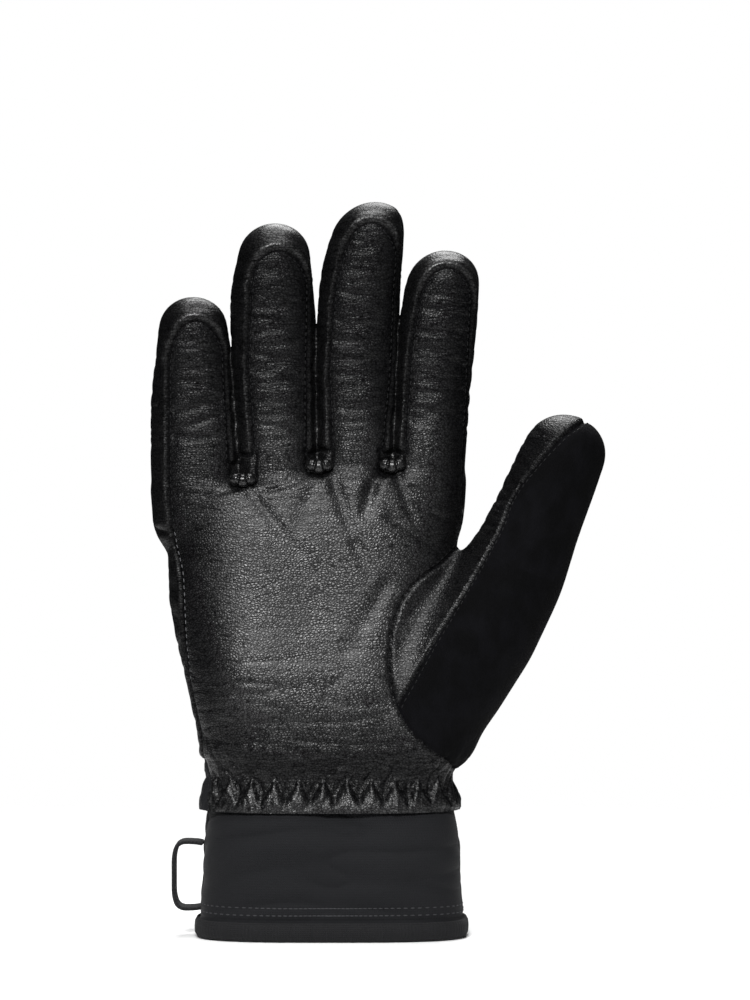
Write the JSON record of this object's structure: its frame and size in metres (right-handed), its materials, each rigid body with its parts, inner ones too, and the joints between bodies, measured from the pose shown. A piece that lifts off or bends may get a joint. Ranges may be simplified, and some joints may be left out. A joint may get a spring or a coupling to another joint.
{
  "type": "ski glove",
  "caption": "Right-hand insulated leather ski glove with articulated fingers, microfibre thumb wipe, gathered elastic wrist and short softshell cuff with hook-and-loop strap.",
  "frame": {"origin": "centre of the cuff's mouth, where the hand enters", "axes": "+Z from the cuff's mouth to the fingertips, the palm faces -Y, the thumb is on the +X side"},
  "size_m": [0.1616, 0.0608, 0.2658],
  "materials": {
    "leather": "black fine-grained sheepskin leather, semi-gloss",
    "thumb_suede": "blue-black brushed microfibre",
    "liner": "charcoal fleece over quilted insulation",
    "elastic": "woven elastic",
    "foam": "felted padding under the leather",
    "softshell": "matte woven softshell",
    "binding": "folded knit binding tape",
    "hook_tape": "woven hook tape",
    "loop_tape": "brushed loop tape",
    "webbing": "ribbed webbing",
    "tab": "moulded rubber grip tab"
  },
  "bodies": {
    "cuff": {"cuff_shell": "softshell", "cuff_lining": "liner", "cuff_binding": "binding", "strap_loop_patch": "loop_tape", "strap_anchor": "softshell", "pull_loop": "webbing"},
    "hand": {"palm_panel": "leather", "back_panel": "softshell", "thumb_root_palm_side": "leather", "thumb_root_back": "leather", "wrist_elastic": "elastic", "knuckle_pad": "foam", "palm_liner": "liner", "back_liner": "liner", "thumb_root_liner": "liner"},
    "strap": {"strap": "softshell", "strap_hook_patch": "hook_tape", "strap_pull_tab": "tab"},
    "little_base": {"little_base_palm_side": "leather", "little_base_side_walls": "leather", "little_base_back": "leather", "little_base_liner": "liner"},
    "little_tip": {"little_tip_palm_side": "leather", "little_tip_side_walls": "leather", "little_tip_back": "leather", "little_tip_liner": "liner"},
    "ring_base": {"ring_base_palm_side": "leather", "ring_base_side_walls": "leather", "ring_base_back": "leather", "ring_base_liner": "liner"},
    "ring_tip": {"ring_tip_palm_side": "leather", "ring_tip_side_walls": "leather", "ring_tip_back": "leather", "ring_tip_liner": "liner"},
    "middle_base": {"middle_base_palm_side": "leather", "middle_base_side_walls": "leather", "middle_base_back": "leather", "middle_base_liner": "liner"},
    "middle_tip": {"middle_tip_palm_side": "leather", "middle_tip_side_walls": "leather", "middle_tip_back": "leather", "middle_tip_liner": "liner"},
    "index_base": {"index_base_palm_side": "leather", "index_base_side_walls": "leather", "index_base_back": "leather", "index_base_liner": "liner"},
    "index_tip": {"index_tip_palm_side": "leather", "index_tip_side_walls": "leather", "index_tip_back": "leather", "index_tip_liner": "liner"},
    "thumb_base": {"thumb_base_palm_side": "leather", "thumb_base_side_walls": "leather", "thumb_base_nose_wipe": "thumb_suede", "thumb_base_liner": "liner"},
    "thumb_tip": {"thumb_tip_palm_side": "leather", "thumb_tip_side_walls": "leather", "thumb_tip_nose_wipe": "thumb_suede", "thumb_tip_liner": "liner"}
  },
  "joints": [
    {"name": "wrist_bend", "type": "hinge", "parent": "cuff", "child": "hand", "pos_m": [0, 0, 0.05], "axis": [1, 0, 0], "range_deg": [-20, 20], "stiffness_Nm_per_rad": 3},
    {"name": "little_knuckle", "type": "hinge", "parent": "hand", "child": "little_base", "pos_m": [-0.049, -0.014, 0.171], "axis": [0.9997, 0, 0.0262], "range_deg": [0, 60], "stiffness_Nm_per_rad": 0.3},
    {"name": "little_middle", "type": "hinge", "parent": "little_base", "child": "little_tip", "pos_m": [-0.04952, -0.0149, 0.19098], "axis": [0.9997, 0, 0.0262], "range_deg": [0, 70], "stiffness_Nm_per_rad": 0.15},
    {"name": "ring_knuckle", "type": "hinge", "parent": "hand", "child": "ring_base", "pos_m": [-0.0198, -0.0145, 0.175], "axis": [0.9999, 0, 0.014], "range_deg": [0, 60], "stiffness_Nm_per_rad": 0.3},
    {"name": "ring_middle", "type": "hinge", "parent": "ring_base", "child": "ring_tip", "pos_m": [-0.02023, -0.01616, 0.20596], "axis": [0.9999, 0, 0.014], "range_deg": [0, 70], "stiffness_Nm_per_rad": 0.15},
    {"name": "middle_knuckle", "type": "hinge", "parent": "hand", "child": "middle_base", "pos_m": [0.0082, -0.0145, 0.176], "axis": [0.9986, 0, -0.0523], "range_deg": [0, 60], "stiffness_Nm_per_rad": 0.3},
    {"name": "middle_middle", "type": "hinge", "parent": "middle_base", "child": "middle_tip", "pos_m": [0.01008, -0.01651, 0.2119], "axis": [0.9986, 0, -0.0523], "range_deg": [0, 70], "stiffness_Nm_per_rad": 0.15},
    {"name": "index_knuckle", "type": "hinge", "parent": "hand", "child": "index_base", "pos_m": [0.0352, -0.0145, 0.175], "axis": [0.9969, 0, -0.0785], "range_deg": [0, 60], "stiffness_Nm_per_rad": 0.3},
    {"name": "index_middle", "type": "hinge", "parent": "index_base", "child": "index_tip", "pos_m": [0.03747, -0.01602, 0.20388], "axis": [0.9969, 0, -0.0785], "range_deg": [0, 70], "stiffness_Nm_per_rad": 0.15},
    {"name": "thumb_knuckle", "type": "hinge", "parent": "hand", "child": "thumb_base", "pos_m": [0.05366, -0.01837, 0.13664], "axis": [0.6113, -0.7431, -0.2722], "range_deg": [0, 10], "stiffness_Nm_per_rad": 0.3},
    {"name": "thumb_middle", "type": "hinge", "parent": "thumb_base", "child": "thumb_tip", "pos_m": [0.06422, -0.0188, 0.16152], "axis": [0.6113, -0.7431, -0.2722], "range_deg": [0, 25], "stiffness_Nm_per_rad": 0.15},
    {"name": "strap_peel", "type": "hinge", "parent": "cuff", "child": "strap", "pos_m": [0.025, 0.0296, 0.025], "axis": [0, 0, -1], "range_deg": [0, 110]}
  ]
}
